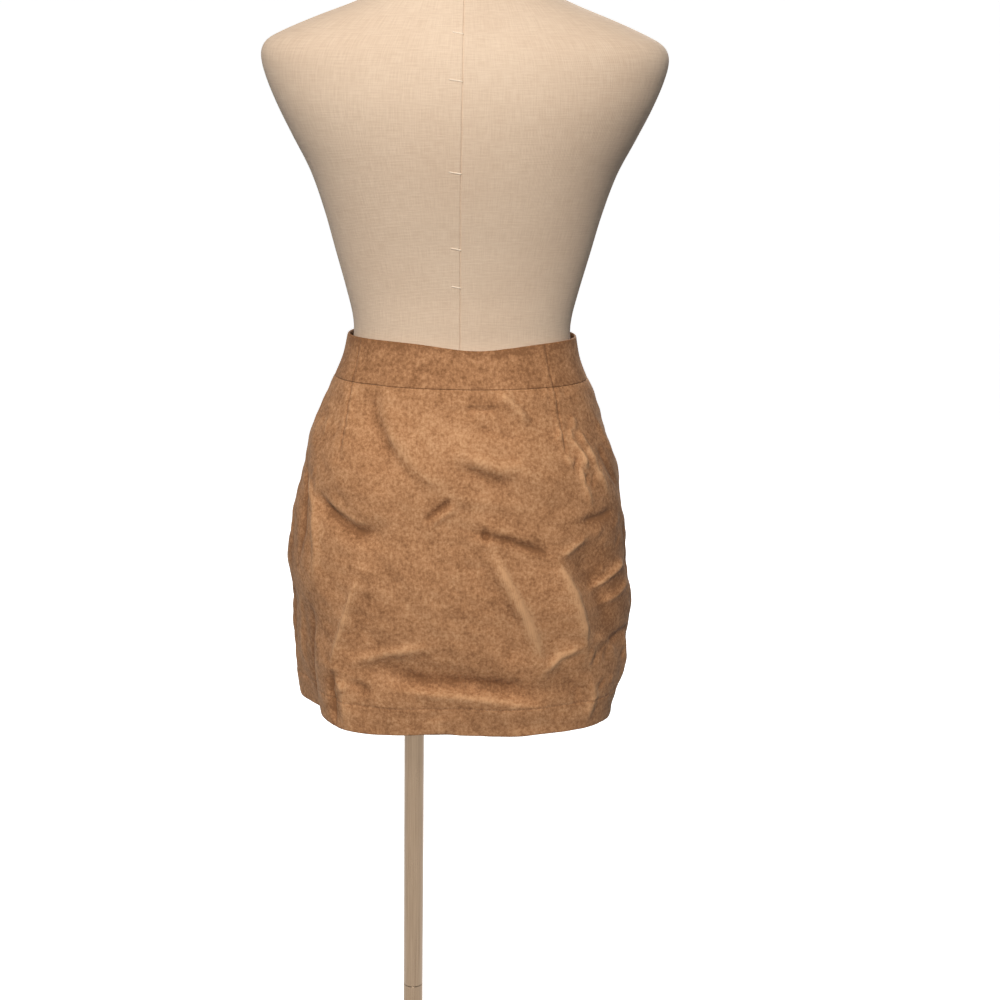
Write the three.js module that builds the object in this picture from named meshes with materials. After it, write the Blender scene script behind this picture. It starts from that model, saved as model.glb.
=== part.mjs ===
// Corduroy mini skirt, worn on a limbless linen dress form that stands on an off-centre pole.
// Millimetres, +Z up. The origin is on the floor, below the middle of the form.
// The garment's front faces -Y and its back +Y, so the wearer's left is +X.
import * as THREE from 'three';

// ---------------------------------------------------------------- driving dimensions
const TOP_EDGE_Z = 1030;        // the skirt's top edge above the floor
const LENGTH = 394;             // top edge to hem at the centre back
const BAND_DEPTH = 39;          // depth of the waistband
const HEM_DEPTH = 30;           // cloth turned up inside the hem
const CLOTH = 1.5;              // one layer of corduroy
const BAND_CLOTH = 2.4;         // two pressed layers
const HEM_CLOTH = 3.0;          // the hem, doubled
const SEAM_GAP = 0.3;           // between sewn pieces
const LAYER_GAP = 0.37;         // between layers, measured level on the sloping cloth
const ZIP_LENGTH = 190;
const ZIP_TAPE = 1.0;           // thickness of the zip's tape
const BACK_COLUMNS = 44;        // columns of facets from side seam to side seam
const FRONT_COLUMNS = 36;

const POLE_X = 48;              // the pole stands towards the wearer's left
const POLE_RADIUS = 11;
const POLE_JOINT_Z = 285;       // where the two lengths of pole meet
const BASE_RADIUS = 155;
const BASE_HEIGHT = 14;
const COLLAR_RADIUS = 24;
const COLLAR_HEIGHT = 34;
const SOCKET_RADIUS = 26;
const SOCKET_HEIGHT = 12;
const CAP_RADIUS = 48;
const CAP_HEIGHT = 16;
const FORM_BOTTOM = -285;       // heights on the form are measured from the skirt's top edge
const FORM_TOP = 414;

// ---------------------------------------------------------------- tables
// The skirt's outside, level by level. drop is measured down from the top edge; left, right,
// back and front are half-sizes from the axis; the squareness exponents are for the back's
// left and right quarters and for the front (2 is an ellipse).
const SKIRT_LEVELS = [
  { drop: 0, left: 119, right: 119, back: 80, front: 98, sqLeft: 2.1, sqRight: 2.1, sqFront: 2.1 },
  { drop: 21, left: 124.5, right: 124, back: 86, front: 102, sqLeft: 2.1, sqRight: 2.1, sqFront: 2.1 },
  { drop: 52, left: 139, right: 137.5, back: 97, front: 108, sqLeft: 2.1, sqRight: 2.1, sqFront: 2.1 },
  { drop: 96, left: 156, right: 155, back: 110, front: 115, sqLeft: 2.2, sqRight: 2.1, sqFront: 2.1 },
  { drop: 140, left: 167, right: 166, back: 118, front: 120, sqLeft: 2.3, sqRight: 2.2, sqFront: 2.2 },
  { drop: 184, left: 175, right: 174, back: 123, front: 123, sqLeft: 2.4, sqRight: 2.3, sqFront: 2.2 },
  { drop: 228, left: 178, right: 179.5, back: 126, front: 125, sqLeft: 2.5, sqRight: 2.4, sqFront: 2.3 },
  { drop: 272, left: 173, right: 183, back: 127, front: 125, sqLeft: 2.6, sqRight: 2.4, sqFront: 2.3 },
  { drop: 318, left: 166, right: 182, back: 126, front: 124, sqLeft: 2.8, sqRight: 2.5, sqFront: 2.4 },
  { drop: 362, left: 158, right: 176, back: 125, front: 123, sqLeft: 3.1, sqRight: 2.7, sqFront: 2.4 },
  { drop: 394, left: 151, right: 167, back: 124, front: 122, sqLeft: 3.4, sqRight: 2.8, sqFront: 2.4 },
];

// The largest folds, each a soft ridge (+) or trough (-) along a line on the cloth. Its ends
// are [turn, drop]: turn in degrees from the centre back, positive to the wearer's left, and
// drop in millimetres. width is its half-width, and rise its height at the two ends.
const FOLDS = [
  { name: 'left side flute', from: [93, 190], to: [92, 400], width: 30, rise: [2, 23] },
  { name: 'hollow behind the flute', from: [70, 290], to: [70, 400], width: 20, rise: [-2, -5] },
  { name: 'left back corner', from: [50, 330], to: [47, 400], width: 24, rise: [2, 4] },
  { name: 'trough from the left dart', from: [51, 49], to: [30, 111], width: 17, rise: [-3, -4] },
  { name: 'swell inside it', from: [39, 71], to: [0, 135], width: 20, rise: [2, 3] },
  { name: 'swell towards the right dart', from: [-2, 99], to: [-40, 138], width: 16, rise: [4, 3] },
  { name: 'seat bulge on the left', from: [52, 130], to: [38, 150], width: 30, rise: [5, 4] },
  { name: 'crease under the bulge', from: [60, 160], to: [36, 184], width: 13, rise: [-5, -5] },
  { name: 'ridge down from the middle', from: [-14, 190], to: [-37, 322], width: 14, rise: [4, 5] },
  { name: 'trough inside that ridge', from: [-8, 222], to: [-26, 300], width: 16, rise: [-3, -6] },
  { name: 'ridge from the right hip', from: [-42, 205], to: [-53, 308], width: 14, rise: [3, 4] },
  { name: 'hollow below the right dart', from: [-58, 215], to: [-67, 310], width: 24, rise: [-7, -6] },
  { name: 'thin ridge on the left', from: [40, 225], to: [50, 326], width: 13, rise: [2, 5] },
  { name: 'trough above the hem', from: [31, 325], to: [-26, 342], width: 15, rise: [-4, -5] },
  { name: 'ridge above the hem', from: [25, 350], to: [-36, 364], width: 14, rise: [2, 4] },
  { name: 'centre of the hem', from: [-10, 370], to: [-16, 400], width: 34, rise: [-3, -6] },
  { name: 'front left flute', from: [135, 210], to: [138, 400], width: 34, rise: [2, 9] },
  { name: 'front crease to the left hip', from: [110, 150], to: [158, 205], width: 16, rise: [-3, -5] },
  { name: 'front centre hollow', from: [184, 230], to: [176, 400], width: 34, rise: [-3, -7] },
  { name: 'front swell under the waist', from: [160, 80], to: [205, 125], width: 20, rise: [3, 2] },
  { name: 'front right flute', from: [222, 240], to: [226, 400], width: 30, rise: [2, 8] },
  { name: 'front crease to the right hip', from: [250, 140], to: [205, 190], width: 16, rise: [-4, -3] },
  { name: 'right side hollow', from: [262, 300], to: [262, 400], width: 26, rise: [-1, -4] },
];
const FOLD_SCALE = 2.6;         // millimetres of cloth to a degree, at the hip
const WAIST_SCALE = 2.0;        // and at the waist, where it is least

// The top edge rises to the sides and dips near the centre back; the waist seam is level.
const TOP_DIP_TURN = -12;       // the top edge is lowest just right of the centre back
const TOP_DIP_WIDTH = 34;
const TOP_DIP = 7;
const TOP_SIDE_RISE = 5;
const HEM_WAVE = 1.6;
const HEM_WAVES = 7;

// The form, level by level, from its flat underside to the top of its neck.
const FORM_LEVELS = [
  { height: -285, half: 150, back: 104, front: 104, square: 2.3 },
  { height: -270, half: 155, back: 108, front: 108, square: 2.3 },
  { height: -200, half: 158, back: 110, front: 110, square: 2.3 },
  { height: -140, half: 154, back: 107, front: 109, square: 2.2 },
  { height: -96, half: 147, back: 102, front: 108, square: 2.1 },
  { height: -52, half: 132.5, back: 92.4, front: 104.9, square: 2.1 },
  { height: -21, half: 118.5, back: 81.8, front: 98.9, square: 2.1 },
  { height: 2, half: 113, back: 75, front: 94.4, square: 2.1 },
  { height: 22, half: 113.5, back: 74, front: 93, square: 2.1 },
  { height: 50, half: 120, back: 75, front: 94, square: 2.1 },
  { height: 90, half: 131, back: 82, front: 99, square: 2.1 },
  { height: 130, half: 142, back: 92, front: 108, square: 2.1 },
  { height: 170, half: 156, back: 101, front: 120, square: 2.1 },
  { height: 205, half: 174, back: 106, front: 124, square: 2.1 },
  { height: 235, half: 189, back: 107, front: 119, square: 2.1 },
  { height: 262, half: 200, back: 104, front: 107, square: 2.05 },
  { height: 282, half: 204.5, back: 99, front: 93, square: 2.0 },
  { height: 294, half: 201, back: 94, front: 84, square: 1.95 },
  { height: 302, half: 191, back: 90, front: 78, square: 1.9 },
  { height: 318, half: 155, back: 82, front: 68, square: 1.9 },
  { height: 336, half: 108, back: 73, front: 57, square: 1.95 },
  { height: 352, half: 75, back: 66, front: 50, square: 2.0 },
  { height: 368, half: 60, back: 62, front: 47, square: 2.0 },
  { height: 390, half: 55, back: 59, front: 46, square: 2.0 },
  { height: 414, half: 54, back: 57, front: 46, square: 2.0 },
];

// ---------------------------------------------------------------- small helpers
const radians = THREE.MathUtils.degToRad;

// A smooth curve through one column of a table: cubic, with each row's slope taken from
// its neighbours.
function smooth(rows, key, column, at) {
  const last = rows.length - 1;
  const slope = (i) => {
    const a = rows[Math.max(i - 1, 0)];
    const b = rows[Math.min(i + 1, last)];
    return (b[column] - a[column]) / (b[key] - a[key]);
  };
  let i = 0;
  while (i < last - 1 && at > rows[i + 1][key]) i += 1;
  const [p, q] = [rows[i], rows[i + 1]];
  const span = q[key] - p[key];
  const t = THREE.MathUtils.clamp((at - p[key]) / span, 0, 1);
  const [t2, t3] = [t * t, t * t * t];
  return (2 * t3 - 3 * t2 + 1) * p[column] + (t3 - 2 * t2 + t) * span * slope(i)
    + (3 * t2 - 2 * t3) * q[column] + (t3 - t2) * span * slope(i + 1);
}

// Distance from the axis to a rounded oval in the direction turn (degrees from +Y to +X).
function ovalRadius(turn, halfX, halfY, square) {
  const x = Math.abs(Math.sin(radians(turn))) / halfX;
  const y = Math.abs(Math.cos(radians(turn))) / halfY;
  return (x ** square + y ** square) ** (-1 / square);
}

const range = (from, to, steps) =>
  Array.from({ length: steps + 1 }, (_, i) => from + ((to - from) * i) / steps);

const wrapTurn = (turn) => THREE.MathUtils.euclideanModulo(turn + 180, 360) - 180;

function geometryFrom(points, triangles) {
  const geometry = new THREE.BufferGeometry();
  const places = points.flatMap((point) => point.toArray());
  geometry.setAttribute('position', new THREE.Float32BufferAttribute(places, 3));
  geometry.setIndex(triangles);
  geometry.computeVertexNormals();
  return geometry;
}

// ---------------------------------------------------------------- the skirt's surface
function foldRise(turn, drop) {
  let rise = 0;
  for (const fold of FOLDS) {
    const across = wrapTurn(fold.to[0] - fold.from[0]) * FOLD_SCALE;
    const down = fold.to[1] - fold.from[1];
    const x = wrapTurn(turn - fold.from[0]) * FOLD_SCALE;
    const y = drop - fold.from[1];
    const t = THREE.MathUtils.clamp((x * across + y * down) / (across ** 2 + down ** 2), 0, 1);
    const away = Math.hypot(x - t * across, y - t * down);
    rise += THREE.MathUtils.lerp(...fold.rise, t) * Math.exp(-((away / fold.width) ** 2));
  }
  return rise;
}

function skirtRadius(turn, drop) {
  const level = (column) => smooth(SKIRT_LEVELS, 'drop', column, drop);
  const onLeft = Math.sin(radians(turn)) >= 0;
  const onBack = Math.cos(radians(turn)) >= 0;
  const backSquare = onLeft ? 'sqLeft' : 'sqRight';
  const halfX = level(onLeft ? 'left' : 'right');
  const halfY = level(onBack ? 'back' : 'front');
  return ovalRadius(turn, halfX, halfY, level(onBack ? backSquare : 'sqFront')) + foldRise(turn, drop);
}

// The top edge's rise and dip fade out at the waist seam, and the hem's waves fade upwards.
function skirtHeight(turn, drop) {
  const hem = drop / LENGTH;
  const top = 1 - Math.min(drop / BAND_DEPTH, 1);
  const dip = TOP_DIP * Math.exp(-((wrapTurn(turn - TOP_DIP_TURN) / TOP_DIP_WIDTH) ** 2));
  const wave = HEM_WAVE * Math.sin(radians(turn * HEM_WAVES + 40));
  return TOP_EDGE_Z - drop + (TOP_SIDE_RISE - dip) * top ** 1.5 + wave * hem ** 4;
}

// A point on the cloth, moved inwards, square to the ring, by inset.
function skirtPoint(turn, drop, inset = 0) {
  const onRing = (angle) => {
    const radius = skirtRadius(angle, drop);
    return new THREE.Vector2(Math.sin(radians(angle)), Math.cos(radians(angle))).multiplyScalar(radius);
  };
  const place = onRing(turn);
  const along = onRing(turn + 0.5).sub(onRing(turn - 0.5)).normalize();
  return new THREE.Vector3(place.x + along.y * inset, place.y - along.x * inset, skirtHeight(turn, drop));
}

// A wall of cloth over a list of turns and a list of drops. thickness(drop) is its thickness
// and inset(drop) how far its outside lies in from the skirt's outside.
function clothWall(turns, drops, thickness, inset = () => 0) {
  const points = [];
  for (const drop of drops) {
    for (const turn of turns) {
      const depth = inset(drop);
      points.push(skirtPoint(turn, drop, depth), skirtPoint(turn, drop, depth + thickness(drop)));
    }
  }
  const index = (row, column, layer) => (row * turns.length + column) * 2 + layer;
  const triangles = [];
  const quad = (a, b, c, d) => triangles.push(a, c, b, a, d, c);
  const lastRow = drops.length - 1;
  const lastColumn = turns.length - 1;
  for (let row = 0; row < lastRow; row += 1) {
    for (let column = 0; column < lastColumn; column += 1) {
      const corner = (layer) => [
        index(row, column, layer), index(row, column + 1, layer),
        index(row + 1, column + 1, layer), index(row + 1, column, layer),
      ];
      quad(...corner(0));
      quad(...corner(1).reverse());
    }
    quad(index(row, 0, 1), index(row, 0, 0), index(row + 1, 0, 0), index(row + 1, 0, 1));
    quad(index(row, lastColumn, 0), index(row, lastColumn, 1),
      index(row + 1, lastColumn, 1), index(row + 1, lastColumn, 0));
  }
  for (let column = 0; column < lastColumn; column += 1) {
    quad(index(0, column, 1), index(0, column + 1, 1), index(0, column + 1, 0), index(0, column, 0));
    quad(index(lastRow, column, 0), index(lastRow, column + 1, 0),
      index(lastRow, column + 1, 1), index(lastRow, column, 1));
  }
  return geometryFrom(points, triangles);
}

// ---------------------------------------------------------------- the form's surface
function formTorso() {
  const sides = 40;
  const heights = [];
  FORM_LEVELS.forEach((level, i) => {
    heights.push(level.height);
    const next = FORM_LEVELS[i + 1];
    if (next && next.height - level.height > 42) heights.push((level.height + next.height) / 2);
  });
  const points = [];
  for (const height of heights) {
    const level = (column) => smooth(FORM_LEVELS, 'height', column, height);
    for (let side = 0; side < sides; side += 1) {
      const turn = (360 * side) / sides;
      const depth = Math.cos(radians(turn)) >= 0 ? 'back' : 'front';
      const radius = ovalRadius(turn, level('half'), level(depth), level('square'));
      points.push(new THREE.Vector3(
        Math.sin(radians(turn)) * radius, Math.cos(radians(turn)) * radius, TOP_EDGE_Z + height));
    }
  }
  const triangles = [];
  const index = (row, side) => row * sides + (side % sides);
  for (let row = 0; row < heights.length - 1; row += 1) {
    for (let side = 0; side < sides; side += 1) {
      triangles.push(index(row, side), index(row + 1, side + 1), index(row, side + 1));
      triangles.push(index(row, side), index(row + 1, side), index(row + 1, side + 1));
    }
  }
  const underside = points.push(new THREE.Vector3(0, 0, TOP_EDGE_Z + FORM_BOTTOM)) - 1;
  const crown = points.push(new THREE.Vector3(0, 0, TOP_EDGE_Z + FORM_TOP)) - 1;
  for (let side = 0; side < sides; side += 1) {
    triangles.push(underside, index(0, side), index(0, side + 1));
    triangles.push(crown, index(heights.length - 1, side + 1), index(heights.length - 1, side));
  }
  return geometryFrom(points, triangles);
}

// A turned piece with softened rims, standing on z = 0.
function turned(radius, height, soften, sides = 24) {
  const profile = [new THREE.Vector2(0, 0), new THREE.Vector2(radius - soften * 0.4, 0),
    new THREE.Vector2(radius, soften * 0.4)];
  for (const angle of range(0, 90, 2)) {
    profile.push(new THREE.Vector2(
      radius - soften * (1 - Math.cos(radians(angle))), height - soften * (1 - Math.sin(radians(angle)))));
  }
  profile.push(new THREE.Vector2(0, height));
  const geometry = new THREE.LatheGeometry(profile, sides);
  geometry.rotateX(Math.PI / 2);
  return geometry;
}

// ---------------------------------------------------------------- materials
const finish = (color, roughness, metalness = 0) =>
  new THREE.MeshStandardMaterial({ color, roughness, metalness, side: THREE.FrontSide });
const corduroy = () => finish('#a97850', 0.85);
const zipTape = () => finish('#7a5638', 0.8);
const linen = () => finish('#d8c4aa', 0.9);
const brass = () => finish('#b89a78', 0.35, 0.8);
const enamel = () => finish('#d9cdbd', 0.4, 0.1);

// ---------------------------------------------------------------- assembly
const part = new THREE.Group();
function add(name, geometry, material, x = 0, y = 0, z = 0) {
  const mesh = new THREE.Mesh(geometry, material);
  mesh.name = name;
  mesh.position.set(x, y, z);
  part.add(mesh);
}

const seamTurn = SEAM_GAP / 2 / WAIST_SCALE;
const backTurns = range(90 - seamTurn, -90 + seamTurn, BACK_COLUMNS);
const frontTurns = range(-90 - seamTurn, -270 + seamTurn, FRONT_COLUMNS);
const bandDrops = range(0, BAND_DEPTH - SEAM_GAP / 2, 4);
const hemTop = LENGTH - HEM_DEPTH;
const panelDrops = [
  ...range(BAND_DEPTH + SEAM_GAP / 2, 110, 3), ...range(130, hemTop - 1, 12), ...range(hemTop, LENGTH, 2),
];
const bandThickness = () => BAND_CLOTH;
const panelThickness = (drop) => (drop < hemTop ? CLOTH : HEM_CLOTH);

add('waistband_back', clothWall(backTurns, bandDrops, bandThickness), corduroy());
add('waistband_front', clothWall(frontTurns, bandDrops, bandThickness), corduroy());
add('back_panel', clothWall(backTurns, panelDrops, panelThickness), corduroy());
add('front_panel', clothWall(frontTurns, panelDrops, panelThickness), corduroy());

// The zip's tape lies inside the left seam, one column of facets to each side of it.
const zipTurns = [...frontTurns.slice(-2).map((turn) => turn + 360), ...backTurns.slice(0, 2)];
const zipDrops = [...bandDrops.slice(1), ...panelDrops.filter((drop) => drop < ZIP_LENGTH)];
const insideLayer = (drop) => (drop < BAND_DEPTH + SEAM_GAP ? BAND_CLOTH : CLOTH) + LAYER_GAP;
add('side_zip', clothWall(zipTurns, zipDrops, () => ZIP_TAPE, insideLayer), zipTape());

add('form_torso', formTorso(), linen());
add('form_neck_cap', turned(CAP_RADIUS, CAP_HEIGHT, 7), enamel(), 0, 5, TOP_EDGE_Z + FORM_TOP);

// The stand, from the floor up: plate, collar, two lengths of pole and the socket under the form.
const underside = TOP_EDGE_Z + FORM_BOTTOM;
add('base_plate', turned(BASE_RADIUS, BASE_HEIGHT, 6, 48), enamel(), POLE_X);
add('base_collar', turned(COLLAR_RADIUS, COLLAR_HEIGHT, 8), brass(), POLE_X, 0, BASE_HEIGHT);
const poleFoot = BASE_HEIGHT + COLLAR_HEIGHT;
const poleTop = underside - SOCKET_HEIGHT;
add('pole_lower', turned(POLE_RADIUS, POLE_JOINT_Z - SEAM_GAP / 2 - poleFoot, 1), brass(),
  POLE_X, 0, poleFoot);
add('pole_upper', turned(POLE_RADIUS, poleTop - POLE_JOINT_Z - SEAM_GAP / 2, 1), brass(),
  POLE_X, 0, POLE_JOINT_Z + SEAM_GAP / 2);
add('form_socket', turned(SOCKET_RADIUS, SOCKET_HEIGHT, 4), brass(), POLE_X, 0, poleTop);

export default part;
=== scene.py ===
"""Corduroy mini skirt on a limbless linen dress form: the looks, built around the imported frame.

The skirt's surface is worked out in millimetres from named sizes and short tables, in the
garment's own coordinates: turn, in degrees from the centre back (positive to the wearer's
left), and drop, in millimetres down from the top edge.
"""
import math

import bpy
import numpy as np
from mathutils import Euler, Matrix, Vector


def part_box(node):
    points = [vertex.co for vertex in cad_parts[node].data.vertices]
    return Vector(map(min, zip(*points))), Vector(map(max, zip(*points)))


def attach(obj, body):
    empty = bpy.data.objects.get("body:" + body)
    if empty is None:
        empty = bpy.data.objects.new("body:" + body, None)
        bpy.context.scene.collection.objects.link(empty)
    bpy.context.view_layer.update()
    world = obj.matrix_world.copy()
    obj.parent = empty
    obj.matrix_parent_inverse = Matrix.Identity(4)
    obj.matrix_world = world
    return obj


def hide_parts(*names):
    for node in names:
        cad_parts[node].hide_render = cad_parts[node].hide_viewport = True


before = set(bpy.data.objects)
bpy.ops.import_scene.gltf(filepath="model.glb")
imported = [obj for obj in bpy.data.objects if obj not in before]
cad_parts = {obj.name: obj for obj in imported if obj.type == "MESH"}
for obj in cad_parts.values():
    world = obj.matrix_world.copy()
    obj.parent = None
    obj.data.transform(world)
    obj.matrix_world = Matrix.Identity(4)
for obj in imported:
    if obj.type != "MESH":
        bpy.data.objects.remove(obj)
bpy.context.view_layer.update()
MM = 0.001
FLOOR_GAP = 0.0002

# ------------------------------------------------------------------ places from the frame
torso_low, torso_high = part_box("form_torso")
FORM_BOTTOM = -285.0
FORM_TOP = FORM_BOTTOM + (torso_high - torso_low).z / MM
TOP_EDGE_Z = torso_low.z / MM - FORM_BOTTOM

# ------------------------------------------------------------------ sizes
LENGTH = 394.0
BAND_DEPTH = 39.0
HEM_DEPTH = 30.0
CLOTH = 1.5
BAND_CLOTH = 2.4
HEM_CLOTH = 3.0
SEAM_TURN = 0.075
SEAM_HALF_GAP = 0.15
FOLD_SCALE = 2.6
WALE_PITCH = 1.5
RELIEF = 1.65
SEAM_ROLL = 0.25
EDGE_STEPS = (0.0, 0.4, 0.9, 1.6, 2.6)
# painted shade over the whole waistband, which shows darker than the panels
BAND_PAINTED_SHADE = -0.3
ZIP_TURNS = (85.9, 95.0)
ZIP_DROPS = (12.0, 188.0)
ZIP_GAP = 0.35
ZIP_FAR = 1.2
TICK_HEIGHTS = (302.0, 258.0, 172.0, 98.0, 60.0)
TICK_TURNS = (-0.6, 7.0)
TICK_RADIUS = 0.5

# ------------------------------------------------------------------ the camera
# At chest height behind the form, looking a little down; the sensor is Blender's 36 mm.
EYE = Vector((-0.0425, 1.700, TOP_EDGE_Z * MM + 0.235))
LENS = 58.9
LOOK_DOWN = 13.5
ROLL = 0.97


def make_camera():
    data = bpy.data.cameras.new("camera")
    data.lens = LENS
    data.clip_end = 100
    camera = bpy.data.objects.new("camera", data)
    bpy.context.collection.objects.link(camera)
    camera.location = EYE
    camera.rotation_mode = "QUATERNION"
    level = Euler((math.radians(90 - LOOK_DOWN), 0, math.radians(180)), "XYZ").to_matrix()
    camera.rotation_quaternion = (level @ Matrix.Rotation(math.radians(ROLL), 3, "Z")).to_quaternion()
    bpy.context.scene.camera = camera


make_camera()

# ------------------------------------------------------------------ tables
# The skirt's outside: half-sizes from the axis, and squareness (2 is an ellipse).
LEVEL_COLUMNS = ("drop", "left", "right", "back", "front", "sq_left", "sq_right", "sq_front")
SKIRT_LEVELS = [
    (0, 119, 119, 80, 98, 2.1, 2.1, 2.1),
    (21, 124.5, 124, 86, 102, 2.1, 2.1, 2.1),
    (52, 139, 137.5, 97, 108, 2.1, 2.1, 2.1),
    (96, 156, 155, 110, 115, 2.2, 2.1, 2.1),
    (140, 167, 166, 118, 120, 2.3, 2.2, 2.2),
    (184, 175, 174, 123, 123, 2.4, 2.3, 2.2),
    (228, 178, 179.5, 126, 125, 2.5, 2.4, 2.3),
    (272, 173, 183, 127, 125, 2.6, 2.4, 2.3),
    (318, 166, 182, 126, 124, 2.8, 2.5, 2.4),
    (362, 158, 176, 125, 123, 3.1, 2.7, 2.4),
    (394, 151, 167, 124, 122, 3.4, 2.8, 2.4),
]
# The largest folds: (from, to, half-width, rise at each end), as in the frame's solids.
FOLDS = [
    ((93, 190), (92, 400), 30, (2, 23)),
    ((70, 290), (70, 400), 20, (-2, -5)),
    ((50, 330), (47, 400), 24, (2, 4)),
    ((51, 49), (30, 111), 17, (-3, -4)),
    ((39, 71), (0, 135), 20, (2, 3)),
    ((-2, 99), (-40, 138), 16, (4, 3)),
    ((52, 130), (38, 150), 30, (5, 4)),
    ((60, 160), (36, 184), 13, (-5, -5)),
    ((-14, 190), (-37, 322), 14, (4, 5)),
    ((-8, 222), (-26, 300), 16, (-3, -6)),
    ((-42, 205), (-53, 308), 14, (3, 4)),
    ((-58, 215), (-67, 310), 24, (-7, -6)),
    ((40, 225), (50, 326), 13, (2, 5)),
    ((31, 325), (-26, 342), 15, (-4, -5)),
    ((25, 350), (-36, 364), 14, (2, 4)),
    ((-10, 370), (-16, 400), 34, (-3, -6)),
    ((135, 210), (138, 400), 34, (2, 9)),
    ((110, 150), (158, 205), 16, (-3, -5)),
    ((184, 230), (176, 400), 34, (-3, -7)),
    ((160, 80), (205, 125), 20, (3, 2)),
    ((222, 240), (226, 400), 30, (2, 8)),
    ((250, 140), (205, 190), 16, (-4, -3)),
    ((262, 300), (262, 400), 26, (-1, -4)),
]
TOP_SIDE_RISE, TOP_DIP, TOP_DIP_TURN, TOP_DIP_WIDTH = 5.0, 7.0, -12.0, 34.0
HEM_WAVE, HEM_WAVES, HEM_WAVE_START = 1.6, 7, 40
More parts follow.
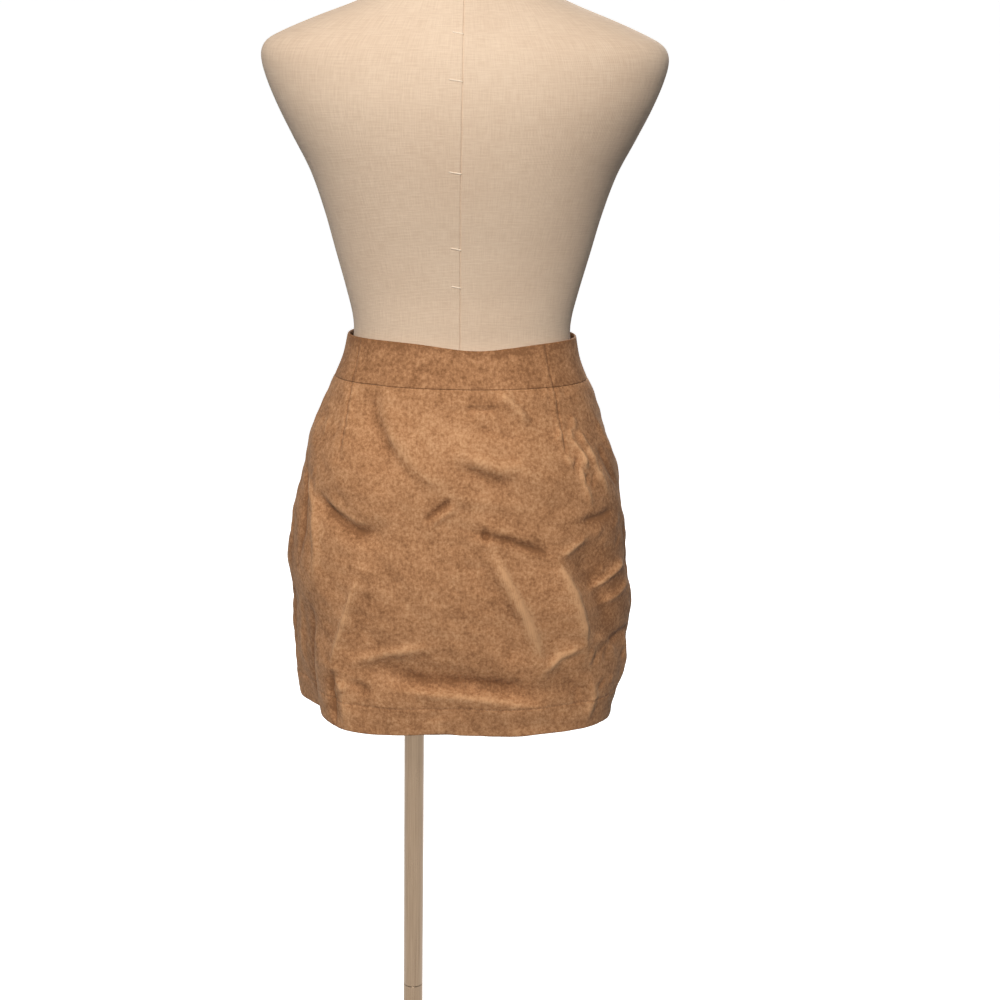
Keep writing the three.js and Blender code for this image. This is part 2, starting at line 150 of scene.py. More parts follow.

# Creases on the cloth: the line they follow, their half-widths to the left and right of that line as it
# runs, their rise (a trough is negative), and whether the top is crisp.
CREASES = [
    # back, between the waist and the seat
    ([(51, 44), (46, 66), (38, 90), (30, 115)], (7, 12), -2.2, False),
    ([(44, 60), (30, 95), (16, 122), (0, 136)], (12, 8), 1.8, False),
    ([(-21, 41), (-29, 51), (-34, 60), (-39, 74)], (5, 9), 3.0, False),
    ([(-2, 55), (-12, 50), (-24, 56)], (9, 9), -2.6, False),
    ([(-8, 72), (-22, 78), (-34, 92)], (10, 7), -1.6, False),
    ([(2, 98), (-10, 106), (-20, 114), (-30, 113), (-36, 126), (-42, 142)], (6, 10), 2.2, False),
    ([(0, 112), (-14, 124), (-28, 130)], (6, 8), -1.6, False),
    ([(4, 141), (-20, 148), (-38, 156)], (8, 8), 0.9, False),
    ([(62, 152), (60, 160), (55, 168), (49, 177), (43, 183), (35, 182)], (3.0, 6), -3.4, True),
    ([(60, 150), (52, 163), (45, 172), (36, 174)], (8, 4), 2.0, False),
    ([(16, 167), (9, 156), (2, 144)], (2.6, 5), -2.6, True),
    ([(13, 172), (6, 161), (0, 152)], (5, 4), 1.5, False),
    # back, across and below the seat
    ([(-4, 176), (-14, 181), (-24, 188), (-34, 197), (-44, 207)], (6, 3.0), -2.6, True),
    ([(-10, 172), (-24, 180), (-38, 194)], (7, 5), 1.5, False),
    ([(-11, 180), (-15, 182)], (5, 5), -3.0, False),
    ([(-43, 206), (-49, 199), (-57, 188)], (4, 4), 2.2, True),
    ([(-52, 172), (-62, 171), (-73, 169)], (3, 5), -2.4, True),
    ([(-14, 188), (-18, 205), (-26, 246), (-33, 285), (-37, 322)], (5, 8), 3.2, True),
    ([(-37, 324), (-43, 311), (-52, 301)], (5, 4), 2.4, True),
    ([(-14, 215), (-22, 250), (-30, 292)], (9, 6), -2.0, False),
    ([(-42, 205), (-48, 242), (-52, 280), (-53, 312)], (4, 9), 3.0, True),
    ([(-50, 214), (-58, 232), (-62, 262), (-66, 300)], (9, 13), -2.0, False),
    ([(-56, 248), (-66, 236), (-77, 222)], (3.5, 4), 2.6, True),
    ([(-60, 264), (-68, 258), (-79, 246)], (4, 4), 2.0, True),
    ([(-57, 292), (-66, 306), (-72, 330)], (4, 6), 1.8, False),
    ([(-62, 310), (-72, 302), (-82, 300)], (4, 5), -1.6, False),
    ([(40, 222), (43, 250), (46, 280), (49, 305), (51, 328)], (3.0, 2.6), 2.4, True),
    ([(36, 235), (40, 275), (43, 315)], (9, 7), -1.2, False),
    ([(50, 326), (51, 350), (50, 396)], (3.0, 4), -3.2, True),
    ([(46, 330), (46, 360), (45, 396)], (6, 4), 1.8, False),
    # back, above the hem
    ([(47, 326), (40, 315), (33, 308), (20, 301), (8, 300)], (5, 7), 2.0, False),
    ([(36, 320), (25, 330), (13, 336), (-11, 339), (-28, 343), (-39, 362)], (6, 9), -3.2, False),
    ([(30, 342), (10, 348), (-20, 354), (-38, 364)], (4, 5), 2.4, False),
    ([(44, 338), (38, 346), (40, 356)], (4, 5), -1.8, False),
    ([(52, 338), (47, 346), (52, 356)], (3, 4), 1.5, False),
    ([(-44, 330), (-50, 348), (-52, 372)], (5, 5), -1.6, False),
    ([(-56, 340), (-58, 360), (-56, 386)], (4, 5), 1.8, False),
    ([(8, 372), (6, 396)], (14, 14), 1.4, False),
    # the wearer's left side
    ([(80, 118), (72, 150), (68, 190), (69, 232)], (4, 5), -2.2, True),
    ([(74, 130), (64, 168), (60, 205), (59, 240)], (5, 4), 1.8, False),
    ([(86, 160), (80, 205), (79, 250)], (4, 5), 1.4, False),
    ([(62, 262), (66, 310), (70, 362), (71, 396)], (5, 6), -2.8, True),
    ([(72, 262), (76, 310), (79, 350)], (5, 5), 2.0, False),
    ([(84, 250), (86, 300), (85, 350)], (6, 6), -1.6, False),
    # the wearer's right side
    ([(-56, 88), (-59, 104), (-61, 126)], (3, 3), 2.0, True),
    ([(-63, 86), (-65, 108), (-67, 132), (-71, 156)], (3, 3.4), 2.2, True),
    ([(-57, 114), (-58, 136), (-60, 162)], (3, 3), 2.0, True),
    ([(-70, 96), (-74, 124), (-80, 150)], (4, 5), -1.8, False),
    ([(-76, 74), (-79, 100), (-85, 126)], (5, 5), 1.4, False),
    ([(-79, 180), (-83, 215), (-84, 262)], (5, 6), -1.6, False),
    ([(-76, 300), (-80, 335), (-78, 372)], (6, 6), 1.8, False),
    # front
    ([(110, 146), (126, 166), (142, 184), (160, 206)], (5, 9), -3.0, True),
    ([(112, 132), (130, 152), (150, 170)], (8, 8), 1.8, False),
    ([(252, 136), (240, 152), (224, 170), (206, 190)], (9, 5), -3.0, True),
    ([(248, 158), (232, 176), (214, 200)], (7, 7), 1.6, False),
    ([(156, 74), (172, 92), (190, 108), (206, 126)], (6, 10), 2.0, False),
    ([(150, 92), (168, 112), (188, 130)], (8, 8), -1.6, False),
    ([(200, 60), (194, 78), (182, 92)], (6, 9), 1.6, False),
    ([(176, 186), (179, 204), (181, 232)], (5, 5), -2.0, True),
    ([(170, 214), (160, 252), (152, 300), (146, 340)], (5, 8), 2.8, True),
    ([(192, 210), (202, 250), (208, 296), (212, 344)], (8, 5), 2.6, True),
    ([(180, 240), (182, 290), (178, 350)], (14, 14), -1.6, False),
    ([(122, 230), (126, 280), (131, 330), (134, 396)], (4, 6), 2.2, False),
    ([(114, 250), (117, 310), (121, 396)], (5, 5), -2.0, False),
    ([(238, 240), (236, 290), (232, 345), (231, 396)], (5, 4), 2.0, False),
    ([(248, 230), (249, 290), (246, 396)], (5, 5), -1.8, False),
    ([(210, 346), (190, 338), (170, 342), (152, 350)], (8, 6), -2.4, False),
    ([(206, 358), (186, 354), (164, 358)], (5, 5), 1.8, False),
    ([(104, 100), (100, 130), (98, 168)], (4, 5), -1.8, False),
    ([(262, 96), (264, 128), (266, 160)], (4, 5), 1.6, False),
]
# Patches of small crumples: (turn, drop) of the middle, spread, how many, their lean in
# degrees from upright, length and rise.
CRUMPLES = [
    ((-62, 105), (11, 34), 12, 12, 22, 1.3),
    ((-56, 46), (7, 9), 5, 25, 10, 0.6),
    ((-66, 340), (11, 28), 8, 20, 20, 0.8),
    ((50, 344), (6, 18), 6, 35, 14, 0.8),
    ((-70, 205), (10, 26), 7, 60, 18, 0.7),
    ((70, 110), (10, 40), 8, 10, 24, 0.7),
    ((10, 215), (22, 40), 7, 75, 20, 0.4),
    ((250, 110), (14, 40), 10, 15, 22, 0.7),
    ((112, 330), (14, 40), 9, 15, 22, 0.7),
    ((180, 150), (26, 50), 9, 70, 22, 0.5),
]
# Painted light and shade on the cloth: painted shade down the sides, which face away from the lamps, and
# painted light on the middles of the back and front; the middle's turn and drop, the reach each way, and the
# tone.
PAINTED_LIGHT_PATCHES = [
    (-70, 245, 15, 70, -0.75),
    (-82, 120, 12, 90, -0.35),
    (84, 230, 12, 130, -0.45),
    (0, 90, 36, 30, 0.30),
    (120, 240, 20, 90, -0.35),
    (240, 200, 22, 80, -0.35),
    (180, 120, 36, 40, 0.30),
]
# The cloth's slow undulations: wavelength and height, in millimetres.
UNEVENNESS = [(95, 0.7), (70, 0.55), (48, 0.4), (36, 0.3), (27, 0.22), (19, 0.15), (13, 0.1)]
# The waist darts: lines stitched down from the top edge to their points.
DARTS = [
    [(67.5, -2), (66, 20), (64, 39), (58, 80), (54.5, 112)],
    [(-56, -2), (-55.5, 20), (-55, 39), (-53.5, 70), (-52.5, 108)],
]
DART_END = 110.0

# The form, from its flat underside up.
FORM_COLUMNS = ("height", "half", "back", "front", "square")
FORM_LEVELS = [
    (-285, 150, 104, 104, 2.3),
    (-270, 155, 108, 108, 2.3),
    (-200, 158, 110, 110, 2.3),
    (-140, 154, 107, 109, 2.2),
    (-96, 147, 102, 108, 2.1),
    (-52, 132.5, 92.4, 104.9, 2.1),
    (-21, 118.5, 81.8, 98.9, 2.1),
    (2, 113, 75, 94.4, 2.1),
    (22, 113.5, 74, 93, 2.1),
    (50, 120, 75, 94, 2.1),
    (90, 131, 82, 99, 2.1),
    (130, 142, 92, 108, 2.1),
    (170, 156, 101, 120, 2.1),
    (205, 174, 106, 124, 2.1),
    (235, 189, 107, 119, 2.1),
    (262, 200, 104, 107, 2.05),
    (282, 204.5, 99, 93, 2.0),
    (294, 201, 94, 84, 1.95),
    (302, 191, 90, 78, 1.9),
    (318, 155, 82, 68, 1.9),
    (336, 108, 73, 57, 1.95),
    (352, 75, 66, 50, 2.0),
    (368, 60, 62, 47, 2.0),
    (390, 55, 59, 46, 2.0),
    (414, 54, 57, 46, 2.0),
]


# ------------------------------------------------------------------ the surface, with numpy
def wrap(turn):
    return (turn + 180) % 360 - 180


def smooth(rows, column, at):
    """The cubic curve that the frame's solids use, through one column of a table."""
    keys = np.array([row[0] for row in rows], float)
    values = np.array([row[column] for row in rows], float)
    last = len(keys) - 1
    before, after = np.maximum(np.arange(last + 1) - 1, 0), np.minimum(np.arange(last + 1) + 1, last)
    slope = (values[after] - values[before]) / (keys[after] - keys[before])
    at = np.asarray(at, float)
    i = np.clip(np.searchsorted(keys, at, side="left") - 1, 0, last - 1)
    span = keys[i + 1] - keys[i]
    t = np.clip((at - keys[i]) / span, 0, 1)
    return (
        (2 * t**3 - 3 * t**2 + 1) * values[i]
        + (t**3 - 2 * t**2 + t) * span * slope[i]
        + (3 * t**2 - 2 * t**3) * values[i + 1]
        + (t**3 - t**2) * span * slope[i + 1]
    )


def column_at(rows, names, name, at):
    """The smooth value, at a level, of the named column of a table."""
    return smooth(rows, names.index(name), at)


def oval_radius(turn, half_x, half_y, square):
    """Radius of a squared oval at a turn; square 2 is an ellipse."""
    angle = np.radians(turn)
    across, along = np.abs(np.sin(angle) / half_x), np.abs(np.cos(angle) / half_y)
    return (across**square + along**square) ** (-1 / square)


def fold_rise(turn, drop):
    """How far the largest folds stand out, as in the frame's solids."""
    total = np.zeros_like(turn)
    for start, end, width, rise in FOLDS:
        across, down = wrap(end[0] - start[0]) * FOLD_SCALE, end[1] - start[1]
        x, y = wrap(turn - start[0]) * FOLD_SCALE, drop - start[1]
        t = np.clip((x * across + y * down) / (across**2 + down**2), 0, 1)
        away = np.hypot(x - t * across, y - t * down)
        total += (rise[0] + (rise[1] - rise[0]) * t) * np.exp(-((away / width) ** 2))
    return total


def skirt_radius(turn, drop):
    def level(name):
        return column_at(SKIRT_LEVELS, LEVEL_COLUMNS, name, drop)

    on_left = np.sin(np.radians(turn)) >= 0
    on_back = np.cos(np.radians(turn)) >= 0
    half_x = np.where(on_left, level("left"), level("right"))
    half_y = np.where(on_back, level("back"), level("front"))
    back_square = np.where(on_left, level("sq_left"), level("sq_right"))
    square = np.where(on_back, back_square, level("sq_front"))
    return oval_radius(turn, half_x, half_y, square) + fold_rise(turn, drop)


def skirt_height(turn, drop):
    hem = drop / LENGTH
    top = 1 - np.clip(drop / BAND_DEPTH, 0, 1)
    dip = TOP_DIP * np.exp(-((wrap(turn - TOP_DIP_TURN) / TOP_DIP_WIDTH) ** 2))
    wave = HEM_WAVE * np.sin(np.radians(turn * HEM_WAVES + HEM_WAVE_START))
    return TOP_EDGE_Z - drop + (TOP_SIDE_RISE - dip) * top**1.5 + wave * hem**4


def skirt_surface(turn, drop):
    """Points and outward normals of the skirt's outside, without the creases."""
    def place(t, d):
        radius = skirt_radius(t, d)
        angle = np.radians(t)
        return np.stack([np.sin(angle) * radius, np.cos(angle) * radius, skirt_height(t, d)], -1)

    step_turn, step_drop = 0.15, 0.4
    along = place(turn + step_turn, drop) - place(turn - step_turn, drop)
    down = place(turn, drop + step_drop) - place(turn, drop - step_drop)
    normal = np.cross(along, down)
    return place(turn, drop), normal / np.linalg.norm(normal, axis=-1, keepdims=True)


def along_line(line, turn, drop):
    """Signed distance from a line on the cloth, in millimetres, and how far along it, 0 to 1."""
    points = np.array(line, float)
    x, y = wrap(turn - points[0, 0]) * FOLD_SCALE, drop - points[0, 1]
    corners = np.stack([wrap(points[:, 0] - points[0, 0]) * FOLD_SCALE, points[:, 1] - points[0, 1]], -1)
    steps = np.diff(corners, axis=0)
    lengths = np.hypot(*steps.T)
    nearest = np.full(x.shape, 1e9)
    signed, share = np.zeros_like(x), np.zeros_like(x)
    for i, (start, step, length) in enumerate(zip(corners, steps, lengths)):
        px, py = x - start[0], y - start[1]
        t = np.clip((px * step[0] + py * step[1]) / length**2, 0, 1)
        away = np.hypot(px - t * step[0], py - t * step[1])
        side = np.sign(px * step[1] - py * step[0])
        closer = away < nearest
        nearest = np.where(closer, away, nearest)
        signed = np.where(closer, away * side, signed)
        share = np.where(closer, (lengths[:i].sum() + t * length) / lengths.sum(), share)
    return signed, share


def crease_rise(turn, drop, line, widths, rise, crisp):
    signed, share = along_line(line, turn, drop)
    width = np.where(signed < 0, widths[0], widths[1])
    if crisp:
        softened = np.sqrt((signed / width) ** 2 + 0.16) - 0.4
        profile = np.exp(-1.35 * softened)
    else:
        profile = np.exp(-((signed / width) ** 2))
    taper = np.clip(np.minimum(share, 1 - share) / 0.3, 0, 1)
    return rise * profile * (0.12 + 0.88 * taper * taper * (3 - 2 * taper))


def crumple_lines():
    rng = np.random.default_rng(7)
    for middle, spread, count, lean, length, rise in CRUMPLES:
        for _ in range(count):
            turn = middle[0] + rng.uniform(-1, 1) * spread[0]
            drop = middle[1] + rng.uniform(-1, 1) * spread[1]
            angle = math.radians(lean + rng.uniform(-25, 25))
            reach = length * rng.uniform(0.5, 1.2) / 2
            bend = rng.uniform(-0.15, 0.15) * reach
            dx, dy = math.sin(angle) * reach / FOLD_SCALE, math.cos(angle) * reach
            line = [(turn - dx, drop - dy), (turn + bend, drop), (turn + dx, drop + dy)]
            width = rng.uniform(2.2, 4.5)
            widths = (width, width * rng.uniform(0.7, 1.5))
            yield line, widths, rise * rng.choice([-1, 1]) * rng.uniform(0.6, 1.2)


def unevenness(turn, drop):
    """Slow undulations of worn cloth, from a few sine waves at odd angles."""
    rng = np.random.default_rng(21)
    x, y = turn * FOLD_SCALE, drop
    total = np.zeros_like(x)
    for wavelength, height in UNEVENNESS:
        for _ in range(2):
            heading, start = rng.uniform(0, math.pi), rng.uniform(0, 2 * math.pi)
            turns_round = max(1, round(360 * FOLD_SCALE * math.cos(heading) / wavelength))
            phase = turn / 360 * 2 * math.pi * turns_round + y * math.sin(heading) * 2 * math.pi / wavelength
            total += height * np.sin(phase + start)
    return total


def painted_cloth_light(turn, drop):
    """Painted light and shade on the cloth: painted highlight on the crease ridges and painted shade in
    their troughs, painted shade along the darts, on the hem's stitching line and under the top edge, and the
    painted light patches.
    """
    total = np.zeros_like(turn)
    # painted highlight on the ridges and painted shade in the troughs of the creases
    for line, widths, rise, crisp in CREASES:
        narrow = [min(width, 5.0) for width in widths]
        strength = 0.42 if crisp else 0.22
        total += strength * crease_rise(turn, drop, line, narrow, rise, crisp)
    # the same painted highlight and shade on the small crumples
    for line, widths, rise in crumple_lines():
        total += 0.35 * crease_rise(turn, drop, line, [width * 0.6 for width in widths], rise, False)
    # painted shade along each dart's groove, fading out towards its point
    for line in DARTS:
        signed = along_line(line, turn, drop)[0]
        total -= 0.6 * np.exp(-((signed / 1.2) ** 2)) * np.clip((DART_END - drop) / 12, 0, 1)
    # painted shade along the groove of the hem's stitching
    total -= 0.35 * np.exp(-(((drop - hem_line(turn)) / 1.0) ** 2))
    # painted shadow just below the top edge
    total -= 0.5 * np.exp(-((drop / 6) ** 2))
    # painted shade on the sides and painted light on the middles
    for turn_at, drop_at, turn_reach, drop_reach, tone in PAINTED_LIGHT_PATCHES:
        across, down = wrap(turn - turn_at) / turn_reach, (drop - drop_at) / drop_reach
        total += tone * np.exp(-(across**2) - down**2)
    return total


def hem_line(turn):
    """The drop of the hem's stitching."""
    return LENGTH - HEM_DEPTH + 0.6 * np.sin(np.radians(turn * 5))


def creases(turn, drop):
    """How far the cloth stands out from its plain surface; the waistband stays almost flat."""
    total = unevenness(turn, drop)
    for line, widths, rise, crisp in CREASES:
        total += RELIEF * crease_rise(turn, drop, line, widths, rise, crisp)
    for line, widths, rise in crumple_lines():
        total += RELIEF * crease_rise(turn, drop, line, widths, rise, False)
    stitched = drop - hem_line(turn)
    total -= 0.5 * np.exp(-((stitched / 1.0) ** 2)) * (1 + 0.4 * np.sin(turn * 1.9))
    below_band = np.clip((drop - BAND_DEPTH + 4) / 14, 0, 1)
    calm = 0.12 + 0.88 * below_band * below_band * (3 - 2 * below_band)
    total = np.where(drop < BAND_DEPTH + 16, np.maximum(total * calm, -0.6), total)
    return total + dart_rise(turn, drop)


def dart_rise(turn, drop):
    """The groove of each dart's stitching, the fold of cloth pressed under one side of it and
    the puckers along it, which die away at its point."""
    total = np.zeros_like(turn)
    for line in DARTS:
        signed = along_line(line, turn, drop)[0]
        signed = signed if line[0][0] > 0 else -signed
        fade = np.clip((DART_END - drop) / 12, 0, 1)
        groove = -1.5 * np.exp(-((signed / 1.0) ** 2))
        ledge = 1.1 * np.exp(-(((signed + 4) / 3.5) ** 2))
        pucker = 0.35 * np.sin(drop * 0.62 + 1.4 * np.sin(drop * 0.13)) * np.exp(-((signed / 5.5) ** 2))
        point = -1.6 * np.exp(-(np.hypot(signed, drop - DART_END - 4) / 5) ** 2)
        on_band = np.where(drop < BAND_DEPTH + 2, 0.55, 1.0)
        total += (groove + ledge + pucker) * fade * on_band + point
    return total


# ------------------------------------------------------------------ mesh building
def make_object(name, points, faces, face_slots=None, uv=None):
    """A smooth-shaded mesh object from points in metres, with the map "cloth" where uv is given."""
    mesh = bpy.data.meshes.new(name)
    mesh.from_pydata(points.tolist() if hasattr(points, "tolist") else points, [], faces)
    if face_slots is not None:
        mesh.polygons.foreach_set("material_index", np.asarray(face_slots, np.int32))
    if uv is not None:
        layer = mesh.uv_layers.new(name="cloth")
        corners = np.zeros(len(mesh.loops), np.int32)
        mesh.loops.foreach_get("vertex_index", corners)
        layer.data.foreach_set("uv", np.asarray(uv, np.float32)[corners].ravel())
    mesh.polygons.foreach_set("use_smooth", np.ones(len(mesh.polygons), bool))
    mesh.update()
    piece = bpy.data.objects.new(name, mesh)
    bpy.context.collection.objects.link(piece)
    return piece


def spaced(low, high, count, ends, finer=()):
    """Values from low to high, closer at both ends for the rolled edges and closer by a given
    factor over the stretches listed as (from, to, factor)."""
    fine = np.linspace(low + ends[-1], high - ends[-1], 4000)
    density = np.ones_like(fine)
    for start, end, factor in finer:
        density[(fine > start) & (fine < end)] = factor
    share = np.concatenate([[0], np.cumsum((density[1:] + density[:-1]) / 2)])
    middle = np.interp(np.linspace(0, share[-1], count), share, fine)[1:-1]
    low_side = [low + e for e in ends]
    high_side = [high - e for e in reversed(ends)]
    return np.array(low_side + list(middle) + high_side)


def edge_roll(distance, reach):
    """A quarter round: 1 at the edge, 0 from reach inwards."""
    share = np.clip(distance / reach, 0, 1)
    return 1 - np.sqrt(1 - (1 - share) ** 2)


def arc_from_middle(points, middle_turn, turns):
    """Distance along each row of points, in millimetres, from the column nearest a turn."""
    steps = np.linalg.norm(np.diff(points, axis=1), axis=-1)
    arc = np.concatenate([np.zeros((points.shape[0], 1)), np.cumsum(steps, axis=1)], axis=1)
    middle = int(np.argmin(np.abs(turns - middle_turn)))
    return arc - arc[:, middle : middle + 1]


def closed_shell(name, outside, inside, uv):
    """A closed shell from two grids of points in millimetres; slot 0 is outside, 1 inside."""
    count = outside.shape[0] * outside.shape[1]
    index = np.arange(count).reshape(outside.shape[:2])
    a, b, c, d = index[:-1, :-1], index[:-1, 1:], index[1:, 1:], index[1:, :-1]
    front = np.stack([a, b, c, d], -1).reshape(-1, 4)
    back = front[:, ::-1] + count
    rim = np.concatenate([index[0, :-1], index[:-1, -1], index[-1, :0:-1], index[:0:-1, 0]])
    around = np.roll(rim, -1)
    edge = np.stack([rim, rim + count, around + count, around], -1)
    points = np.concatenate([outside.reshape(-1, 3), inside.reshape(-1, 3)]) * MM
    faces = np.concatenate([front, back, edge]).tolist()
    face_slots = [0] * len(front) + [1] * len(back) + [0] * len(edge)
    flat = uv.reshape(-1, 2) * MM
    return make_object(name, points, faces, face_slots, np.concatenate([flat, flat]))


def cloth_shell(name, turn_ends, columns, drop_ends, rows, thickness, top_is_fold, bottom_is_fold,
                finer_turns=(), finer_drops=(), tone_and_painted_light=0.0):
    """A closed shell of corduroy: its outside, its inside and its four rolled edges."""
    ends = np.array(EDGE_STEPS)
    turns = spaced(*turn_ends, columns, ends / FOLD_SCALE, finer_turns)
    drops = spaced(*drop_ends, rows, ends, finer_drops)
    turn, drop = np.meshgrid(turns, drops)
    place, normal = skirt_surface(turn, drop)
    depth = thickness(drop)
    rise = creases(turn, drop)
    side = np.minimum(turn - turns[0], turns[-1] - turn) * FOLD_SCALE
    roll = 1.0 * np.exp(-((side / 1.1) ** 2))
    top, bottom = drop - drops[0], drops[-1] - drop
    top_round = edge_roll(top, 1.3 if top_is_fold else 0.7)
    bottom_round = edge_roll(bottom, 1.6 if bottom_is_fold else 0.7)
    for distance, is_fold in ((top, top_is_fold), (bottom, bottom_is_fold)):
        if not is_fold:
            roll = np.maximum(roll, SEAM_ROLL * np.exp(-((distance / 1.6) ** 2)))
    top_round = top_round * (0.5 if top_is_fold else 0.15)
    bottom_round = bottom_round * (0.5 if bottom_is_fold else 0.15)
    rounding = np.maximum(top_round, bottom_round) * depth
    outside = place + normal * (rise - roll - rounding)[..., None]
    inside = place + normal * (rise - np.maximum(depth - rounding, roll + rounding + 0.25))[..., None]
    arc = arc_from_middle(place, sum(turn_ends) / 2, turns)
    piece = closed_shell(name, outside, inside, np.stack([arc, -drop], -1))
    # the painted light and shade, with the piece's own painted shade added, kept on the points for the
    # corduroy's colour
    painted_light = np.clip(painted_cloth_light(turn, drop) + tone_and_painted_light, -1, 1).ravel()
    layer = piece.data.attributes.new("painted_light", "FLOAT", "POINT")
    layer.data.foreach_set("value", np.concatenate([painted_light, painted_light]).astype(np.float32))
    for material in (cord, cord_reverse):
        piece.data.materials.append(material)
    return piece


def tube_faces(base, rings, sides):
    """Faces of a closed tube whose rings of points start at base and turn against its run."""
    faces = []
    for ring in range(rings - 1):
        for side in range(sides):
            a, b = base + ring * sides + side, base + ring * sides + (side + 1) % sides
            faces.append((a, a + sides, b + sides, b))
    faces.append(tuple(base + side for side in range(sides)))
    faces.append(tuple(base + (rings - 1) * sides + side for side in reversed(range(sides))))
    return faces


def lathe(name, profile, centre, sides, material):
    """A turned piece from (radius, height) pairs in millimetres that start and end on the axis."""
    points, faces, rings = [], [], []
    for radius, height in profile:
        if radius == 0:
            rings.append([len(points)])
            points.append((centre[0], centre[1], centre[2] + height))
            continue
        rings.append(list(range(len(points), len(points) + sides)))
        for side in range(sides):
            angle = 2 * math.pi * side / sides
            x, y = radius * math.cos(angle), radius * math.sin(angle)
            points.append((centre[0] + x, centre[1] + y, centre[2] + height))
    for low, high in zip(rings, rings[1:]):
        for side in range(sides):
            after = (side + 1) % sides
            if len(low) == 1:
                faces.append((low[0], high[after], high[side]))
            elif len(high) == 1:
                faces.append((low[side], low[after], high[0]))
            else:
                faces.append((low[side], low[after], high[after], high[side]))
    piece = make_object(name, np.array(points) * MM, faces)
    piece.data.materials.append(material)
    return piece


def rounded_profile(radius, height, top_round, bottom_round, steps=6):
    """The (radius, height) pairs of a disc or rod with rounded rims, standing on 0."""
    profile = [(0, 0), (radius - bottom_round, 0)]
    quarter = [math.pi / 2 * i / steps for i in range(steps + 1)]
    for angle in quarter[1:]:
        inwards, up = bottom_round * (1 - math.sin(angle)), bottom_round * (1 - math.cos(angle))
        profile.append((radius - inwards, up))
    for angle in quarter:
        inwards, down = top_round * (1 - math.cos(angle)), top_round * (1 - math.sin(angle))
        profile.append((radius - inwards, height - down))
    profile.append((0, height))
    return profile


# ------------------------------------------------------------------ materials
def socket_value(value):
    """A colour of three numbers gets its alpha; anything else is passed on."""
    return (*value, 1) if isinstance(value, tuple) and len(value) == 3 else value


class Nodes:
    """A small helper for writing a material's nodes in order."""

    def __init__(self, name):
        self.material = bpy.data.materials.new(name)
        self.material.use_nodes = True
        self.tree = self.material.node_tree
        self.shader = self.tree.nodes["Principled BSDF"]

    def add(self, kind, inputs=(), **settings):
        node = self.tree.nodes.new(kind)
        for key, value in settings.items():
            setattr(node, key, value)
        for key, value in dict(inputs).items():
            self.feed(node.inputs[key], value)
        return node

    def feed(self, socket, value):
        if isinstance(value, bpy.types.NodeSocket):
            self.tree.links.new(value, socket)
        else:
            socket.default_value = value

    def uv(self):
        return self.add("ShaderNodeUVMap", uv_map="cloth").outputs[0]

    def where(self):
        return self.add("ShaderNodeTexCoord").outputs["Object"]

    def scaled(self, vector, scale):
        return self.add("ShaderNodeMapping", {"Vector": vector, "Scale": scale}).outputs[0]

    def math(self, operation, first, second=0.0):
        return self.add("ShaderNodeMath", {0: first, 1: second}, operation=operation).outputs[0]

    def weighted(self, *shares):
        """The sum of values, each times its share, added in order."""
        total = None
        for value, share in shares:
            part = self.math("MULTIPLY", value, share)
            total = part if total is None else self.math("ADD", total, part)
        return total

    def noise(self, vector, scale, detail=2.0, roughness=0.5, distortion=0.0):
        node = self.add("ShaderNodeTexNoise", {"Vector": vector, "Scale": scale, "Detail": detail,
                                               "Roughness": roughness, "Distortion": distortion})
        return node.outputs[0]

    def ramp(self, value, *stops):
        node = self.add("ShaderNodeValToRGB", {"Fac": value})
        elements = node.color_ramp.elements
        while len(elements) < len(stops):
            elements.new(0.5)
        for element, (at, colour) in zip(elements, stops):
            element.position = at
            element.color = (*colour, 1)
        return node.outputs[0]

    def mix(self, share, first, second, blend="MIX"):
        node = self.add("ShaderNodeMix", data_type="RGBA", blend_type=blend)
        for socket, value in ((node.inputs[0], share), (node.inputs[6], first), (node.inputs[7], second)):
            self.feed(socket, socket_value(value))
        return node.outputs[2]

    def bump(self, height, strength, distance, under=None):
        node = self.add("ShaderNodeBump", {"Height": height, "Strength": strength, "Distance": distance})
        if under is not None:
            self.feed(node.inputs["Normal"], under)
        return node.outputs[0]

    def finish(self, **shader_inputs):
        for key, value in shader_inputs.items():
            socket = self.shader.inputs[key.replace("_", " ").title().replace("Ior", "IOR")]
            self.feed(socket, socket_value(value))
        return self.material


